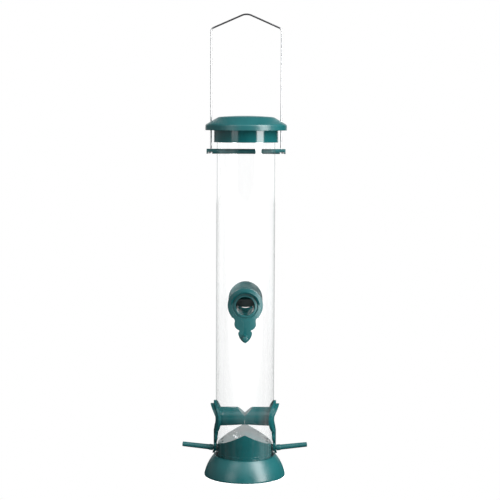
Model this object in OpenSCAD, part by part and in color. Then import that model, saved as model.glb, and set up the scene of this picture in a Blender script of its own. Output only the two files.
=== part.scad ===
// Hanging tube feeder for small seed: a clear tube on a flared foot, four hooded ports with perches,
// and a domed lid that slides up a wire hanger.
// Millimetres, +Z up, origin on the ground under the tube's axis.
// The lower pair of ports faces -X and +X, the upper pair faces -Y and +Y.

/* [Tube] */
// Outside diameter of the clear tube
tube_od = 64; // [63:0.5:65]
// Wall thickness of the clear tube
tube_wall = 2; // [1.8:0.1:2.2]

/* [Base] */
// Diameter of the foot on the ground
foot_d = 89.2; // [88:0.2:96]
// Height of the foot's shoulder, where the tube goes in
foot_h = 22; // [21:0.5:22.5]
// Height of the ridge of the seed deflector
ridge_z = 49.8; // [46:0.1:52]
// Pitch of the deflector's two slopes, in degrees
ridge_pitch = 26; // [22:1:28]

/* [Ports] */
// Height of the lower pair of mouths
low_port_z = 63.6; // [63.6:0.1:70]
// Distance from the lower pair of mouths up to the upper pair
port_pitch = 128.3; // [110:0.1:140]
// Radius of the round part of a port's plate
plate_r = 19; // [18.8:0.1:19.6]
// Thickness of a port's plate
plate_t = 2.35; // [2:0.05:2.6]
// Radius of a port's mouth at its narrow inner end
mouth_r = 10.2; // [9.6:0.1:10.3]

/* [Perches] */
// Reach of a perch's tip from the tube's axis
perch_reach = 69; // [60:0.1:80]
// Upward tilt of a perch, in degrees
perch_tilt = 6.3; // [3:0.1:7]

/* [Hanger] */
// Height of the cross bar that carries the tube
bar_z = 356.5; // [345:0.5:380]
// Diameter of the cross bar
bar_d = 5.4; // [5.2:0.1:6]
// Diameter of the hanger wire
wire_d = 1.8; // [1.6:0.1:2]
// Distance between the hanger's two legs
wire_span = 76; // [75.5:0.1:77]
// Height of the hanger's legs above the cross bar, up to the corner
wire_leg = 131.5; // [110:0.5:160]
// Slope of the hanger's two top arms, in degrees
wire_slope = 23.7; // [15:0.1:35]

/* [Lid] */
// Diameter of the lid
lid_d = 88.4; // [88:0.2:92]
// Outside diameter of the lid's skirt
skirt_d = 70; // [69.8:0.1:70.4]

/* [Hidden] */
$fn = 96;
cut = 1;                                  // how far a cutting solid runs past the face it cuts

green = [0.05, 0.34, 0.33];
clear = [0.88, 0.95, 0.96, 0.35];
steel = [0.75, 0.76, 0.77];

// Directions that the ports face, as turns about Z.
front = -90;
rear = 90;
left = 180;
right = 0;

// Tube
tube_r = tube_od / 2;
tube_in_r = tube_r - tube_wall;
seat_z = foot_h - 3;                      // floor of the groove that the tube stands in
tube_z0 = seat_z + 0.05;
tube_top = bar_z + 17;
up_port_z = low_port_z + port_pitch;

// Base
foot_r = foot_d / 2;
foot_t = 2;                               // wall of the foot
foot_lip_h = 1.6;
foot_lip_step = 0.15;                     // the lip stands out this much from the foot's curved wall
foot_arc_r = 48;
shoulder_r = tube_r + 2.3;
foot_low = [foot_r - foot_lip_step, foot_lip_h];
foot_high = [shoulder_r, foot_h - 0.4];
groove_r = tube_r + 0.3;
plug_r = tube_in_r - 0.3;                 // the seed deflector's round wall
land_r = tube_in_r - 0.1;                 // the tighter band at its foot
land_h = 6;
plug_t = 1.8;
rib_t = 1.6;
rib_count = 6;
drain_r = 1.6;
drain_x = plug_r - 5;
drain_y = 7;

// Port, in its own frame: x points out of the tube, z is measured from the mouth's centre.
saddle_r = tube_r + 0.05;                 // inner face of the plate
plate_out = saddle_r + plate_t;
hood_in = 10.4;
hood_r = hood_in + 1;
hood_t = 1;
hood_gap = 0.08;                          // half the gap between two facing hoods
hood_cut_out = -8.1;                      // lower edge of the hood at the plate
hood_cut_in = -6.2;                       // lower edge of the hood at the tube's axis
nose_flat = 3.3;                          // top of the upright part of the nose
nose_cut = -5.6;                          // lowest point of the nose's wall, where seed runs under it
nose_cut_r = 28;
nose_step = 0.5;                          // the hollow narrows by this much at the nose
collar_r = 13.2;                          // the collar fills the hole in the tube's wall
collar_out = saddle_r + 1;                // it runs this far into the plate
collar_x = 29;                            // inner end of the collar
collar_hole_r = collar_r + 0.2;
mouth_drop = 0.5;                         // the mouth sits this far below the hood's centre
mouth_flare = 0.3;                        // and is this much wider at the plate's face
ring_r = 11.8;                            // a raised ring runs round the mouth
ring_sink = 0.5;                          // its face is this far below the plate's
recess_r = 13.9;                          // the plate is sunk between the ring and the visor
recess_t = 1.2;
visor_r = 15.5;
visor_x = 30.5;                           // the visor's front face crosses the hood's centre level here
visor_lean = 0.475;                       // and leans out this much for each millimetre up
tip_flare = 1.7;                          // the plate's tip bends out by this much
tip_flare_z = -35.5;
tip_z = -40.2;
clip_r = 1.6;                             // a peg on the nose that fits a hole in the hood it faces
clip_y = 5;
clip_z = -1;
clip_gap = 0.1;
clip_reach = 1.8;

// Perch
perch_drop = 34.1;                        // below the mouth's centre
boss_r = 3.9;
boss_hole_r = boss_r + 0.1;
boss_x = 28;                              // inner end of the boss
shank_r = 2.3;
shank_hole_r = shank_r + 0.08;
perch_z = [low_port_z - perch_drop, up_port_z - perch_drop];
perch_r = 3.3;                            // of the perch's thick root
perch_crown_r = 8;                        // rounding of its end

// Hanger
bar_r = bar_d / 2;
bar_hole_r = bar_r + 0.08;
bar_half = 42.8;
wire_r = wire_d / 2;
wire_x = wire_span / 2;
wire_hole_r = wire_r + 0.25;
foot_bend = 1.6;                          // bend radius of the wire's foot
foot_reach = 2.8;                         // from the leg's axis to the foot's tip
wire_lap = 0.1;
wire_step = 0.005;
notch_ceiling = -0.5;                     // of the notch under the bar, measured from the bar's axis
notch_w = 4.6;
corner_bend = 4;
apex_bend = 13;

// Lid
lid_r = lid_d / 2;
lid_t = 2;
skirt_r = skirt_d / 2;
skirt_t = 1.4;
skirt_z = bar_z + 9.9;
rim_z = bar_z + 22.8;
rim_h = 5.9;                              // height of the side, up to where its line meets the slope's
rim_round = 2.6;
slope_a = 30.5;                           // fall of the slope between the crown and the side, in degrees
crown_z = bar_z + 38.4;
slope_in_r = 31.6;                        // the slope and the crown would meet at this radius
crown_arc_r = 330;
crown_edge_a = 8;                         // the shoulder's rounding starts at this fall
shoulder_round = 8;
lid_rib_z = tube_top + 3.2;
lid_rib_in = 28;
lid_hole_r = wire_r + 0.5;
guide_r = 2.6;                            // round bosses that guide the wires
guide_lift = 0.6;

// Points of an arc round [cx, cy], counted from angle a0 to angle a1.
function arc(cx, cy, r, a0, a1, steps = 12) =
    [for (i = [0 : steps]) let (a = a0 + (a1 - a0) * i / steps) [cx + r * cos(a), cy + r * sin(a)]];

function mirrored(points) = [for (i = [len(points) - 1 : -1 : 0]) [-points[i][0], points[i][1]]];

// Centre of a circle of radius r through points p and q, on the right of the way from q to p.
function centre_of(p, q, r) =
    let (m = (p + q) / 2, d = q - p, half = norm(d) / 2)
    m + sqrt(r * r - half * half) * [-d[1], d[0]] / norm(d);

foot_centre = centre_of(foot_low, foot_high, foot_arc_r);

// A body of the given outline standing out along +X, from x0 to x1. The outline is [y, z].
module along_x(x0, x1) {
    translate([x0, 0, 0]) rotate([90, 0, 90]) linear_extrude(x1 - x0) children();
}

module rod_x(r, x0, x1) {
    translate([x0, 0, 0]) rotate([0, 90, 0]) cylinder(r = r, h = x1 - x0);
}

module pipe(r_out, r_in, h) {
    difference() {
        cylinder(r = r_out, h = h);
        translate([0, 0, -cut]) cylinder(r = r_in, h = h + 2 * cut);
    }
}

// ---------------------------------------------------------------- base

// Half section of the foot and its shoulder, with the groove that the tube stands in.
module foot_profile() {
    difference() {
        union() {
            intersection() {
                difference() {
                    translate(foot_centre) circle(r = foot_arc_r, $fn = 240);
                    translate(foot_centre) circle(r = foot_arc_r - foot_t, $fn = 240);
                }
                translate([plug_r, foot_lip_h - foot_lip_step])
                    square([foot_r - plug_r, foot_h - foot_lip_h]);
            }
            translate([foot_r - foot_t, 0]) square([foot_t, foot_lip_h]);
            translate([plug_r - plug_t, seat_z - foot_t])
                square([shoulder_r - plug_r + plug_t, foot_h - seat_z + foot_t]);
        }
        translate([plug_r, seat_z]) square([groove_r - plug_r, foot_h]);
    }
}

// A round plug of radius r under a gable whose ridge runs along Y at height top.
module gable_plug(r, z0, top) {
    fall = tan(ridge_pitch);
    intersection() {
        translate([0, 0, z0]) cylinder(r = r, h = top - z0);
        rotate([90, 0, 0]) translate([0, 0, -tube_r])
            linear_extrude(tube_od) polygon([[-tube_r, z0 - cut], [tube_r, z0 - cut],
                [tube_r, top - tube_r * fall], [0, top], [-tube_r, top - tube_r * fall]]);
    }
}

module base_rib() {
    intersection() {
        translate([plug_r - plug_t / 2, -rib_t / 2, foot_lip_h])
            cube([foot_r - plug_r - foot_t, rib_t, seat_z - foot_t / 2 - foot_lip_h]);
        rotate_extrude() intersection() {
            translate(foot_centre) circle(r = foot_arc_r - foot_t / 2, $fn = 240);
            square([foot_r, foot_h]);
        }
    }
}

module base() {
    color(green) difference() {
        union() {
            rotate_extrude() foot_profile();
            translate([0, 0, seat_z]) pipe(land_r, plug_r - plug_t / 2, land_h);
            difference() {
                gable_plug(plug_r, seat_z - foot_t, ridge_z);
                gable_plug(plug_r - plug_t, seat_z - 2 * foot_t, ridge_z - plug_t / cos(ridge_pitch));
            }
            for (i = [0 : rib_count - 1]) rotate([0, 0, (i + 0.5) * 360 / rib_count]) base_rib();
        }
        translate([0, 0, perch_z[0]]) rod_x(boss_hole_r, -tube_r, tube_r);
        for (x = [-drain_x, drain_x], y = [-drain_y, drain_y])
            translate([x, y, seat_z]) cylinder(r = drain_r, h = ridge_z);
    }
}

// ---------------------------------------------------------------- tube

module tube() {
    color(clear) difference() {
        translate([0, 0, tube_z0]) cylinder(r = tube_r, h = tube_top - tube_z0);
        translate([0, 0, tube_z0 - cut]) cylinder(r = tube_in_r, h = tube_top - tube_z0 + 2 * cut);
        translate([0, 0, low_port_z]) rod_x(collar_hole_r, -tube_od, tube_od);
        translate([0, 0, perch_z[0]]) rod_x(boss_hole_r, -tube_od, tube_od);
        rotate([0, 0, rear]) {
            translate([0, 0, up_port_z]) rod_x(collar_hole_r, -tube_od, tube_od);
            translate([0, 0, perch_z[1]]) rod_x(boss_hole_r, -tube_od, tube_od);
        }
        translate([0, 0, bar_z]) rod_x(bar_hole_r, -tube_od, tube_od);
    }
}

// ---------------------------------------------------------------- ports

// One side of the plate: the round body, then two scallops and a leaf-shaped tip, each an arc
// [centre y, centre z, radius, first angle, last angle].
plate_arcs = [
    [0, 0, plate_r, 90, -40.5],
    [14.9, -16.4, 3.6, 90, 180],
    [5.2, -19.9, 6.5, 20.6, -73.8],
    [7.9, -27.6, 1.75, 120, 187],
    [3.6, -30.2, 3.85, 38, -35],
    [-5, -28.6, 12.5, -18, -63],
];

module plate_outline() {
    side = [for (a = plate_arcs) each arc(a[0], a[1], a[2], a[3], a[4], ceil(a[2] / 2) + 6)];
    polygon(concat(side, [[0, tip_z]], mirrored(side)));
}

// The plate hugs the tube, and its tip bends clear of the foot's shoulder.
module port_plate() {
    intersection() {
        along_x(0, tube_od) plate_outline();
        rotate_extrude() polygon([
            [saddle_r, plate_r + cut], [saddle_r, tip_flare_z], [saddle_r + tip_flare, tip_z - cut],
            [plate_out + tip_flare, tip_z - cut], [plate_out, tip_flare_z], [plate_out, plate_r + cut]]);
    }
}

// The mouth's flared opening, cut through the plate and the collar.
module mouth_cut() {
    widen = mouth_flare / (plate_out - collar_x);
    reach = visor_r;
    translate([collar_x - cut, 0, -mouth_drop]) rotate([0, 90, 0])
        cylinder(r1 = mouth_r - cut * widen, r2 = mouth_r + (reach - cut) * widen, h = reach);
}

// A round body along X whose outer end follows the tube's curve, at radius r_end from the tube's axis.
module curved_rod(r, x0, r_end) {
    intersection() {
        rod_x(r, x0, tube_od);
        translate([0, 0, -2 * r]) cylinder(r = r_end, h = 4 * r);
    }
}

// The rain visor: a short round wall above the mouth, cut off by a leaning face. Its hollow is the recess.
module port_visor() {
    intersection() {
        rod_x(visor_r, saddle_r / 2, tube_od);
        translate([0, 2 * visor_r, 0]) rotate([90, 0, 0]) linear_extrude(4 * visor_r) polygon([
            [0, -visor_r], [visor_x - visor_lean * visor_r, -visor_r],
            [visor_x + visor_lean * visor_r, visor_r], [0, visor_r]]);
        difference() {
            translate([0, 0, -visor_r]) cylinder(r = tube_od, h = 2 * visor_r);
            translate([0, 0, -visor_r - cut]) cylinder(r = collar_out, h = 2 * visor_r + 2 * cut);
        }
    }
}

// What the recess takes away: everything inside it that is further out than the sunk face.
module mouth_recess() {
    difference() {
        rod_x(recess_r, saddle_r / 2, tube_od);
        translate([0, 0, -2 * recess_r]) cylinder(r = plate_out - recess_t, h = 4 * recess_r);
    }
}

// Side view of the hood's outside, or of its hollow when inset by the wall.
module hood_side(inset) {
    x0 = hood_gap + inset;
    top = nose_flat - inset * 0.41;
    linear_extrude(4 * hood_r) polygon([
        [x0, -2 * hood_r], [x0, top], [x0 + 2 * hood_r, top + 2 * hood_r],
        [collar_out, top + 2 * hood_r], [collar_out, -2 * hood_r]]);
}

module port_hood() {
    difference() {
        intersection() {
            rod_x(hood_r, hood_gap, collar_out);
            translate([0, 2 * hood_r, 0]) rotate([90, 0, 0]) hood_side(0);
            // the open underside
            translate([0, 2 * hood_r, 0]) rotate([90, 0, 0]) linear_extrude(4 * hood_r) polygon([
                [0, hood_cut_in], [collar_out, hood_cut_out], [collar_out, hood_r], [0, hood_r]]);
        }
        intersection() {
            rod_x(hood_in, 0, tube_od);
            translate([0, 2 * hood_r, 0]) rotate([90, 0, 0]) hood_side(hood_t);
        }
        along_x(-cut, 2 * hood_t) difference() {
            circle(r = hood_in - nose_step);
            translate([0, nose_cut + nose_cut_r]) circle(r = nose_cut_r, $fn = 240);
        }
    }
}

module port() {
    difference() {
        union() {
            difference() {
                union() {
                    port_plate();
                    port_visor();
                }
                mouth_recess();
            }
            curved_rod(collar_r, collar_x, collar_out);
            translate([0, 0, -mouth_drop]) curved_rod(ring_r, collar_x + cut, plate_out - ring_sink);
            translate([0, 0, -perch_drop]) rod_x(boss_r, boss_x, collar_out);
        }
        mouth_cut();
        translate([plate_out, 0, -perch_drop]) rotate([0, -perch_tilt, 0])
            rod_x(shank_hole_r, -tube_r, tube_r);
    }
    difference() {
        port_hood();
        translate([collar_x + cut, -tube_r, -tube_r]) cube(tube_od);
        translate([0, -clip_y, clip_z]) rod_x(clip_r + clip_gap, -cut, 2 * hood_t);
    }
    translate([0, clip_y, clip_z]) rod_x(clip_r, -hood_gap - clip_reach, hood_gap + hood_t / 2);
}

module port_at(turn, z) {
    color(green) translate([0, 0, z]) rotate([0, 0, turn]) port();
}

// ---------------------------------------------------------------- perches

// Half section of a perch, [radius, distance along it], with 0 where it meets the plate. Its tip is crowned.
module perch_profile(len) {
    intersection() {
        polygon([[0, -9.6], [1.5, -9.6], [shank_r + 0.3, -7.6], [shank_r + 0.3, -7], [shank_r, -6.7],
            [shank_r, 0.5], [perch_r, 0.5], [perch_r, 4.6], [2.9, 5.2], [2.6, len], [0, len]]);
        union() {
            translate([0, -len]) square([perch_r, 2 * len - perch_crown_r]);
            translate([0, len - perch_crown_r]) circle(r = perch_crown_r);
        }
    }
}

module perch_at(turn, z) {
    len = (perch_reach - plate_out) / cos(perch_tilt);
    color(green) translate([0, 0, z]) rotate([0, 0, turn]) translate([plate_out, 0, 0])
        rotate([0, 90 - perch_tilt, 0]) rotate_extrude() perch_profile(len);
}

// ---------------------------------------------------------------- hanger

module hanger_bar() {
    color(green) translate([0, 0, bar_z]) difference() {
        rod_x(bar_r, -bar_half, bar_half);
        for (s = [-1, 1]) {
            translate([s * wire_x, 0, -tube_r]) cylinder(r = wire_hole_r, h = tube_od);
            translate([s * (wire_x + 1), 0, notch_ceiling - bar_r])
                cube([notch_w, 3 * bar_r, 2 * bar_r], center = true);
        }
    }
}

// A bend of the wire in the XZ plane round [cx, cz], from angle a0 through turn degrees.
module wire_bend(cx, cz, r, a0, turn) {
    translate([cx, 0, cz]) rotate([90, 0, 0]) rotate([0, 0, a0])
        rotate_extrude(angle = turn) translate([r, 0]) circle(r = wire_r, $fn = 48);
}

// A straight length of wire. It is a hair thinner than the bends and ends just inside them.
module wire_run(x0, z0, x1, z1) {
    length = norm([x1 - x0, z1 - z0]);
    translate([x0, 0, z0]) rotate([0, atan2(x1 - x0, z1 - z0), 0]) translate([0, 0, -wire_lap])
        cylinder(r = wire_r - wire_step, h = length + 2 * wire_lap, $fn = 48);
}

module hanger_wire() {
    foot_z = bar_z + 0.1;
    corner_z = bar_z + wire_leg - corner_bend * tan((90 - wire_slope) / 2);
    corner_x = wire_x - corner_bend;
    arm_x = corner_x + corner_bend * sin(wire_slope);
    arm_z = corner_z + corner_bend * cos(wire_slope);
    apex_x = apex_bend * sin(wire_slope);
    apex_z = arm_z + (arm_x - apex_x) * tan(wire_slope);
    color(steel) union() {
        for (side = [0, 1]) mirror([side, 0, 0]) {
            wire_run(wire_x + foot_reach, foot_z - foot_bend, wire_x + foot_bend, foot_z - foot_bend);
            wire_bend(wire_x + foot_bend, foot_z, foot_bend, 180, 90);
            wire_run(wire_x, foot_z, wire_x, corner_z);
            wire_bend(corner_x, corner_z, corner_bend, 0, 90 - wire_slope);
            wire_run(arm_x, arm_z, apex_x, apex_z);
        }
        wire_bend(0, apex_z - apex_bend * cos(wire_slope), apex_bend, 90 - wire_slope, 2 * wire_slope);
    }
}

// ---------------------------------------------------------------- lid

// Side and slope of the lid's outer skin, shrunk by inset: the rim's rounding, then the shoulder's.
function lid_outline(inset) =
    let (rim = [lid_r - rim_round, rim_z + rim_h - rim_round * tan(45 - slope_a / 2)],
         rise = tan(slope_a) * (lid_r - slope_in_r),
         bend = [slope_in_r, rim_z + rim_h + rise],
         shoulder = bend - shoulder_round * [sin(slope_a), cos(slope_a)],
         edge = shoulder + (shoulder_round - inset) * [sin(crown_edge_a), cos(crown_edge_a)])
    concat(arc(rim[0], rim[1], rim_round - inset, 0, 90 - slope_a, 8),
           arc(shoulder[0], shoulder[1], shoulder_round - inset, 90 - slope_a, 90 - crown_edge_a, 8),
           [[0, edge[1] + edge[0] * tan(crown_edge_a)]]);

// Everything under the lid's outer skin, shrunk by inset, down to the height z.
module dome_section(inset, z) {
    intersection() {
        translate([0, crown_z - crown_arc_r]) circle(r = crown_arc_r - inset, $fn = 720);
        polygon(concat([[0, z], [lid_r - inset, z]], lid_outline(inset)));
    }
}

module lid_shell() {
    rotate_extrude() difference() {
        dome_section(0, rim_z);
        dome_section(lid_t, rim_z - cut);
    }
}

// The part of a piece that lies under the lid's skin, half way through its wall.
module under_dome() {
    intersection() {
        children();
        rotate_extrude() dome_section(lid_t / 2, 0);
    }
}

module lid() {
    color(green) difference() {
        union() {
            lid_shell();
            under_dome() translate([0, 0, skirt_z]) pipe(skirt_r, skirt_r - skirt_t, crown_z - skirt_z);
            under_dome() for (i = [0 : rib_count - 1]) rotate([0, 0, (i + 0.5) * 360 / rib_count])
                translate([lid_rib_in, -rib_t / 2, lid_rib_z])
                    cube([skirt_r - skirt_t / 2 - lid_rib_in, rib_t, crown_z]);
            under_dome() for (s = [-1, 1]) translate([s * wire_x, 0, rim_z + guide_lift])
                cylinder(r = guide_r, h = crown_z);
        }
        for (s = [-1, 1]) translate([s * wire_x, 0, skirt_z]) cylinder(r = lid_hole_r, h = crown_z);
    }
}

// ---------------------------------------------------------------- nodes

base();
tube();
port_at(front, up_port_z);  // port_front
port_at(rear, up_port_z);  // port_rear
port_at(left, low_port_z);  // port_left
port_at(right, low_port_z);  // port_right
perch_at(front, perch_z[1]);  // perch_front
perch_at(rear, perch_z[1]);  // perch_rear
perch_at(left, perch_z[0]);  // perch_left
perch_at(right, perch_z[0]);  // perch_right
hanger_bar();
hanger_wire();
lid();
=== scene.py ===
import math

import bpy
from mathutils import Matrix, Vector


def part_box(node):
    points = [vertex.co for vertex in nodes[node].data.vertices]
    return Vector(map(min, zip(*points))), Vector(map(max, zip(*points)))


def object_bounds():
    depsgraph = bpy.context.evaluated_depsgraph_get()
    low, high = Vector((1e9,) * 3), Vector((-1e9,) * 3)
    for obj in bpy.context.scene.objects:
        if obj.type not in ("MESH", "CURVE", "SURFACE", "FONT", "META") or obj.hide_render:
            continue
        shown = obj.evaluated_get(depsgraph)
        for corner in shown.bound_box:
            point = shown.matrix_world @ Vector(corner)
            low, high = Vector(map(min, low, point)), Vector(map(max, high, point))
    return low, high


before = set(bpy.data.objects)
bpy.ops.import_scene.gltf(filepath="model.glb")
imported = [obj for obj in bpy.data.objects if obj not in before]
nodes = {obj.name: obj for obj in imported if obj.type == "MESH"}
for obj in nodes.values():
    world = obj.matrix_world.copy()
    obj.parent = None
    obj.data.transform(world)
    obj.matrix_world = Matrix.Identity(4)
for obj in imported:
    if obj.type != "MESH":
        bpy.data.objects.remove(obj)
cad_lo, cad_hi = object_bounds()
MM = 0.001

# Moulded plastic: the two greens of its flow clouds and the dust in its scuffs.
GREEN = (0.003, 0.062, 0.066, 1)
GREEN_LIGHT = (0.006, 0.078, 0.083, 1)
DUST = (0.30, 0.34, 0.33, 1)
# Clear tube: one skin seen straight on, its film of seed dust, one skin seen edge on, and haze.
CLEAR = (0.991, 0.992, 0.992, 1)
SEED_FILM = (0.50, 0.52, 0.52, 1)
SKIN_EDGE = (0.59, 0.61, 0.61, 1)
HAZE = (0.90, 0.92, 0.92, 1)
# Wire: bright and dull zinc, and painted shade on the top, standing in for the dim room the arms reflect.
ZINC = (0.60, 0.61, 0.62, 1)
ZINC_DARK = (0.42, 0.43, 0.44, 1)
# Painted shade: this near-black zinc colour darkens the top of the wire, standing in for the dim room the
# arms reflect.
ZINC_PAINTED_SHADE = (0.075, 0.075, 0.08, 1)
BLACK = (0, 0, 0, 1)
WHITE = (1, 1, 1, 1)


# ---------------------------------------------------------------- node helpers

class Tree:
    """Short names for building the node tree of a material or a world."""

    def __init__(self, owner):
        owner.use_nodes = True
        self.nodes = owner.node_tree.nodes
        self.links = owner.node_tree.links
        self.nodes.clear()

    def add(self, kind, values=None, **settings):
        """Add a node; each value is a number, a colour or another node's output."""
        node = self.nodes.new(kind)
        for name, value in settings.items():
            setattr(node, name, value)
        for name, value in (values or {}).items():
            if hasattr(value, "node"):
                self.links.new(value, node.inputs[name])
            else:
                node.inputs[name].default_value = value
        return node

    def place(self):
        return self.add("ShaderNodeTexCoord").outputs["Object"]

    def axis(self, vector, name):
        return self.add("ShaderNodeSeparateXYZ", {0: vector}).outputs[name]

    def length(self, vector):
        return self.add("ShaderNodeVectorMath", {0: vector}, operation="LENGTH").outputs["Value"]

    def noise(self, scale, detail, stretch=(1, 1, 1), distortion=0.0):
        where = self.add("ShaderNodeMapping", {"Vector": self.place(), "Scale": stretch}).outputs["Vector"]
        values = {"Vector": where, "Scale": scale, "Detail": detail, "Distortion": distortion}
        return self.add("ShaderNodeTexNoise", values).outputs["Fac"]

    def span(self, value, low, high, to_low=0.0, to_high=1.0):
        """Go from to_low to to_high while the value goes from low to high, and no further."""
        values = {"Value": value, "From Min": low, "From Max": high, "To Min": to_low, "To Max": to_high}
        return self.add("ShaderNodeMapRange", values, clamp=True).outputs["Result"]

    def math(self, operation, a, b=0.0):
        return self.add("ShaderNodeMath", {0: a, 1: b}, operation=operation).outputs[0]

    def mix(self, share, a, b):
        """Mix two colours. The mix node numbers its sockets, and these are the ones for colours."""
        return self.add("ShaderNodeMix", {0: share, 6: a, 7: b}, data_type="RGBA").outputs[2]

    def mix_values(self, share, a, b):
        return self.add("ShaderNodeMix", {0: share, 2: a, 3: b}).outputs[0]

    def grey(self, value):
        values = {"Red": value, "Green": value, "Blue": value}
        return self.add("ShaderNodeCombineColor", values).outputs["Color"]

    def bump(self, height, depth, strength, normal=None):
        values = {"Height": height, "Distance": depth, "Strength": strength}
        if normal is not None:
            values["Normal"] = normal
        return self.add("ShaderNodeBump", values).outputs["Normal"]

    def ray_value(self, seen, glossy, diffuse):
        """One value for rays from the camera, another for reflected rays and a third for diffuse light."""
        path = self.add("ShaderNodeLightPath").outputs
        other = self.mix_values(path["Is Diffuse Ray"], glossy, diffuse)
        return self.mix_values(path["Is Camera Ray"], other, seen)

    def finish(self, shader):
        self.add("ShaderNodeOutputMaterial", {"Surface": shader})


# ---------------------------------------------------------------- materials

def moulded_plastic(name, roughness, shift, polished=None):
    """Moulded plastic: rounded edges, a faint orange peel, flow clouds, fine scuffs and a little dust.

    What faces up has lost its shine to the weather. Between the two heights of polished, where they
    are given, the surface is glossier. The shift stretches the clouds, so that no two finishes match.
    """
    material = bpy.data.materials.new(name)
    t = Tree(material)
    stretch = (1 + shift, 1 - shift, 1 + 2 * shift)
    clouds = t.noise(38, 3, stretch, 0.6)
    peel = t.noise(520, 2, stretch)
    grain = t.noise(2600, 1, stretch)
    scuffs = t.span(t.noise(160, 4, (6, 1, 0.7), 1.2), 0.64, 0.72)

    edge_normal = t.add("ShaderNodeBevel", {"Radius": 0.35 * MM}, samples=4).outputs["Normal"]
    true_normal = t.add("ShaderNodeNewGeometry").outputs["Normal"]
    both = {0: edge_normal, 1: true_normal}
    same = t.add("ShaderNodeVectorMath", both, operation="DOT_PRODUCT").outputs["Value"]
    edge = t.span(same, 0.995, 0.90)
    worn = t.math("MULTIPLY", edge, t.span(clouds, 0.35, 0.70, 0.15, 0.55))

    color = t.mix(t.span(clouds, 0.30, 0.70), GREEN, GREEN_LIGHT)
    color = t.mix(t.math("MULTIPLY", worn, 0.35), color, GREEN_LIGHT)
    color = t.mix(t.math("MULTIPLY", scuffs, 0.05), color, DUST)

    rough = t.span(clouds, 0.25, 0.75, roughness - 0.03, roughness + 0.05)
    if polished is not None:
        middle, half = (polished[0] + polished[1]) / 2, (polished[1] - polished[0]) / 2
        away = t.math("ABSOLUTE", t.math("SUBTRACT", t.axis(t.place(), "Z"), middle))
        rough = t.math("MULTIPLY", rough, t.span(away, half - 0.5 * MM, half + 0.5 * MM, 0.32, 1.0))
    rough = t.math("ADD", rough, t.math("MULTIPLY", t.math("MAXIMUM", scuffs, worn), 0.10))

    normal = t.bump(peel, 0.012 * MM, 1.0, edge_normal)
    normal = t.bump(grain, 0.004 * MM, 0.6, normal)
    shine = t.span(t.axis(true_normal, "Z"), 0.90, 0.98, 0.5, 0.04)
    shader = t.add("ShaderNodeBsdfPrincipled", {
        "Base Color": color, "Roughness": rough, "Normal": normal, "IOR": 1.49,
        "Specular IOR Level": shine})
    t.finish(shader.outputs["BSDF"])
    return material


def clear_plastic(name, outer_r):
    """Thin clear tube wall: light goes straight through, its skins reflect, and it greys seen edge on.

    A faint film of seed dust greys the lower part, and each skin keeps a tenth of the light out of
    what the camera doesn't see directly.
    """
    material = bpy.data.materials.new(name)
    t = Tree(material)
    draw_lines = t.noise(260, 3, (1, 1, 0.015))
    waves = t.noise(18, 2, (1, 1, 0.25))
    scuffs = t.span(t.noise(210, 5, (1, 1, 0.6), 1.5), 0.66, 0.75)
    normal = t.bump(draw_lines, 0.006 * MM, 0.5, t.bump(waves, 0.03 * MM, 0.5))
    facing = t.add("ShaderNodeLayerWeight", {"Blend": 0.5, "Normal": normal}).outputs["Facing"]

    where = t.place()
    flat = t.add("ShaderNodeVectorMath", {0: where, 1: (1, 1, 0)}, operation="MULTIPLY").outputs["Vector"]
    outside = t.span(t.length(flat), outer_r - 1.5 * MM, outer_r - 0.5 * MM, 0.25, 1.0)
    edge_on = t.math("MULTIPLY", t.span(facing, 0.60, 0.97), outside)
    film = t.math("MULTIPLY", t.span(t.axis(where, "Z"), 200 * MM, 70 * MM), t.span(facing, 0.05, 0.50))
    tint = t.mix(t.math("MULTIPLY", film, 0.07), CLEAR, SEED_FILM)
    tint = t.mix(edge_on, tint, SKIN_EDGE)
    seen = t.add("ShaderNodeLightPath").outputs["Is Camera Ray"]
    tint = t.mix(seen, t.mix(0.10, tint, BLACK), tint)
    through = t.add("ShaderNodeBsdfTransparent", {"Color": tint}).outputs["BSDF"]

    rough = t.math("ADD", t.span(waves, 0.3, 0.7, 0.010, 0.025), t.math("MULTIPLY", scuffs, 0.2))
    mirror = t.math("ADD", 0.05, t.math("MULTIPLY", 0.30, t.math("POWER", facing, 5.0)))
    values = {"Color": t.grey(mirror), "Roughness": rough, "Normal": normal}
    shine = t.add("ShaderNodeBsdfGlossy", values).outputs["BSDF"]

    haze = t.add("ShaderNodeBsdfDiffuse", {"Color": HAZE}).outputs["BSDF"]
    streaks = t.span(t.noise(420, 3, (1, 1, 0.02)), 0.45, 0.70, 0.0, 0.055)
    streaks = t.math("MULTIPLY", streaks, t.span(facing, 0.03, 0.3))
    veil = t.math("MAXIMUM", streaks, t.math("MULTIPLY", scuffs, 0.03))
    body = t.add("ShaderNodeMixShader", {"Fac": veil, 1: through, 2: haze}).outputs["Shader"]
    t.finish(t.add("ShaderNodeAddShader", {0: body, 1: shine}).outputs["Shader"])
    return material


def zinc_wire(name, painted_shade_above):
    """Drawn spring wire with a thin zinc coat: fine lines, dull and bright patches, and painted shade on the
    top, for the dim room the arms reflect.
    """
    material = bpy.data.materials.new(name)
    t = Tree(material)
    patches = t.noise(240, 4, (1, 1, 0.4), 0.8)
    lines = t.noise(3800, 2, (1, 1, 0.03))
    color = t.mix(t.span(patches, 0.35, 0.65), ZINC, ZINC_DARK)
    # Painted shade: near the top of the wire the colour turns near black, standing in for the dim room the
    # arms reflect.
    color = t.mix(t.span(t.axis(t.place(), "Z"), painted_shade_above - 2 * MM, painted_shade_above), color, ZINC_PAINTED_SHADE)
    rough = t.span(patches, 0.3, 0.7, 0.24, 0.42)
    normal = t.bump(lines, 0.004 * MM, 0.7, t.bump(patches, 0.01 * MM, 0.5))
    shader = t.add("ShaderNodeBsdfPrincipled", {
        "Base Color": color, "Metallic": 1.0, "Roughness": rough, "Normal": normal})
    t.finish(shader.outputs["BSDF"])
    return material


# ---------------------------------------------------------------- finishes on the carried-over pieces

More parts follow.
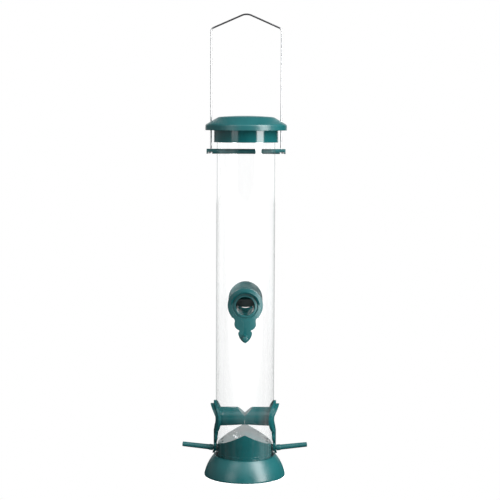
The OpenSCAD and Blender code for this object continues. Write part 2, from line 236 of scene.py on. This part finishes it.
skirt_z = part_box("lid")[0].z
skirt_band = (skirt_z - 1 * MM, skirt_z + 12.7 * MM)
tube_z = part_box("tube")[0].z
deflector_band = (tube_z + 4 * MM, tube_z + 43 * MM)
tube_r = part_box("tube")[1].y
wire_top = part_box("hanger_wire")[1].z
finishes = {
    "lid": moulded_plastic("lid_plastic", 0.34, 0.02, skirt_band),
    "base": moulded_plastic("base_plastic", 0.32, -0.03, deflector_band),
    "port": moulded_plastic("port_plastic", 0.24, 0.05),
    "perch": moulded_plastic("perch_plastic", 0.40, -0.06),
    "hanger_bar": moulded_plastic("bar_plastic", 0.34, 0.08),
    "tube": clear_plastic("tube_plastic", tube_r),
    # The top 15 mm of the wire get the painted shade.
    "hanger_wire": zinc_wire("hanger_zinc", wire_top - 15 * MM),
}
for name, node in nodes.items():
    finish = finishes.get(name) or finishes[name.split("_")[0]]
    node.data.materials.clear()
    node.data.materials.append(finish)
    for face in node.data.polygons:
        face.material_index = 0


# ---------------------------------------------------------------- floor, light and camera

def pale_floor():
    """A white floor that fades into the background and can't be seen from below.

    It is dark in reflections near the feeder, so that it doesn't grey the glossy plastic.
    """
    mesh = bpy.data.meshes.new("floor")
    side = 5.0
    corners = [(-side, -side, 0), (side, -side, 0), (side, side, 0), (-side, side, 0)]
    mesh.from_pydata(corners, [], [(0, 1, 2, 3)])
    floor = bpy.data.objects.new("floor", mesh)
    floor.location.z = cad_lo.z - 0.02 * MM
    bpy.context.scene.collection.objects.link(floor)

    material = bpy.data.materials.new("floor_white")
    t = Tree(material)
    where = t.place()
    distance = t.length(where)
    shaded, plain = 40 * MM, 56 * MM
    ahead = t.span(t.axis(where, "Y"), -0.24, -0.45, 0.04, 0.8)
    glow = t.ray_value(t.span(distance, shaded, plain, 0.45, 1.0), ahead, 0.30)
    albedo = t.grey(t.ray_value(t.span(distance, shaded, plain, 0.85, 0.0), 0.0, 0.0))
    shader = t.add("ShaderNodeBsdfPrincipled", {
        "Base Color": albedo, "Roughness": 1.0, "Specular IOR Level": 0.0,
        "Emission Color": WHITE, "Emission Strength": glow})
    below = t.add("ShaderNodeNewGeometry").outputs["Backfacing"]
    nothing = t.add("ShaderNodeBsdfTransparent").outputs["BSDF"]
    values = {"Fac": below, 1: shader.outputs["BSDF"], 2: nothing}
    t.finish(t.add("ShaderNodeMixShader", values).outputs["Shader"])
    mesh.materials.append(material)


def softbox(name, azimuth, distance, height, width, tall, radiance, glossy=True):
    """A soft light; azimuth 0 is the camera's side and positive is to its right."""
    light = bpy.data.lights.new(name, "AREA")
    light.shape, light.size, light.size_y = "RECTANGLE", width, tall
    light.energy = radiance * math.pi * width * tall
    lamp = bpy.data.objects.new(name, light)
    a = math.radians(azimuth)
    lamp.location = (distance * math.sin(a), -distance * math.cos(a), height)
    aim = Vector((0, 0, 0.22)) - lamp.location
    lamp.rotation_mode = "QUATERNION"
    lamp.rotation_quaternion = aim.to_track_quat("-Z", "Y")
    lamp.visible_camera = False
    lamp.visible_glossy = glossy
    bpy.context.scene.collection.objects.link(lamp)


def white_room():
    """The camera sees plain white; reflections see a dim room, a white backdrop and a paler ceiling."""
    world = bpy.data.worlds.new("room")
    bpy.context.scene.world = world
    t = Tree(world)
    direction = t.add("ShaderNodeTexCoord").outputs["Generated"]
    x, y, up = t.add("ShaderNodeSeparateXYZ", {0: direction}).outputs
    beside = t.math("SUBTRACT", t.math("ABSOLUTE", x), t.math("MULTIPLY", y, 0.5))
    backdrop = t.math("MULTIPLY", t.span(beside, 0.06, -0.06, 0.0, 1.2), t.span(up, 0.42, 0.30))
    ceiling = t.span(up, 0.35, 0.85, 0.05, 0.20)
    left = t.span(x, -0.5, -0.8, 0.05, 0.35)
    room = t.math("MAXIMUM", t.math("MAXIMUM", ceiling, left), backdrop)
    strength = t.ray_value(1.0, room, 0.40)
    background = t.add("ShaderNodeBackground", {"Color": WHITE, "Strength": strength})
    t.add("ShaderNodeOutputWorld", {"Surface": background.outputs[0]})


def camera_on(place, pitch, roll, lens):
    """The camera looks along +Y, pitched and rolled by these many degrees."""
    data = bpy.data.cameras.new("camera")
    data.lens = lens
    data.sensor_width = 36
    data.clip_end = 50
    camera = bpy.data.objects.new("camera", data)
    tilt = Matrix.Rotation(math.radians(90 + pitch), 4, "X")
    turn = Matrix.Rotation(math.radians(roll), 4, "Z")
    camera.matrix_world = Matrix.Translation(place) @ tilt @ turn
    bpy.context.scene.collection.objects.link(camera)
    bpy.context.scene.camera = camera


pale_floor()
white_room()
softbox("key", 51.4, distance=1.40, height=0.90, width=0.77, tall=2.0, radiance=14)
softbox("fill_low", -40, distance=1.50, height=0.66, width=0.68, tall=0.66, radiance=3.3)
softbox("fill_high", -44, distance=0.95, height=1.20, width=0.50, tall=0.5, radiance=3.6)
softbox("key_wing", 71, distance=1.00, height=1.25, width=0.40, tall=0.6, radiance=8)
softbox("overhead", -4, distance=1.05, height=1.45, width=1.4, tall=1.3, radiance=1.2)
softbox("rear", 190, distance=1.50, height=0.90, width=1.2, tall=1.4, radiance=4, glossy=False)
camera_on((0.0048, -1.492, 0.3901), pitch=-5.4, roll=0.27, lens=98.8)

scene = bpy.context.scene
scene.view_settings.view_transform = "Standard"
scene.view_settings.look = "None"
scene.cycles.max_bounces = 10
scene.cycles.transparent_max_bounces = 16
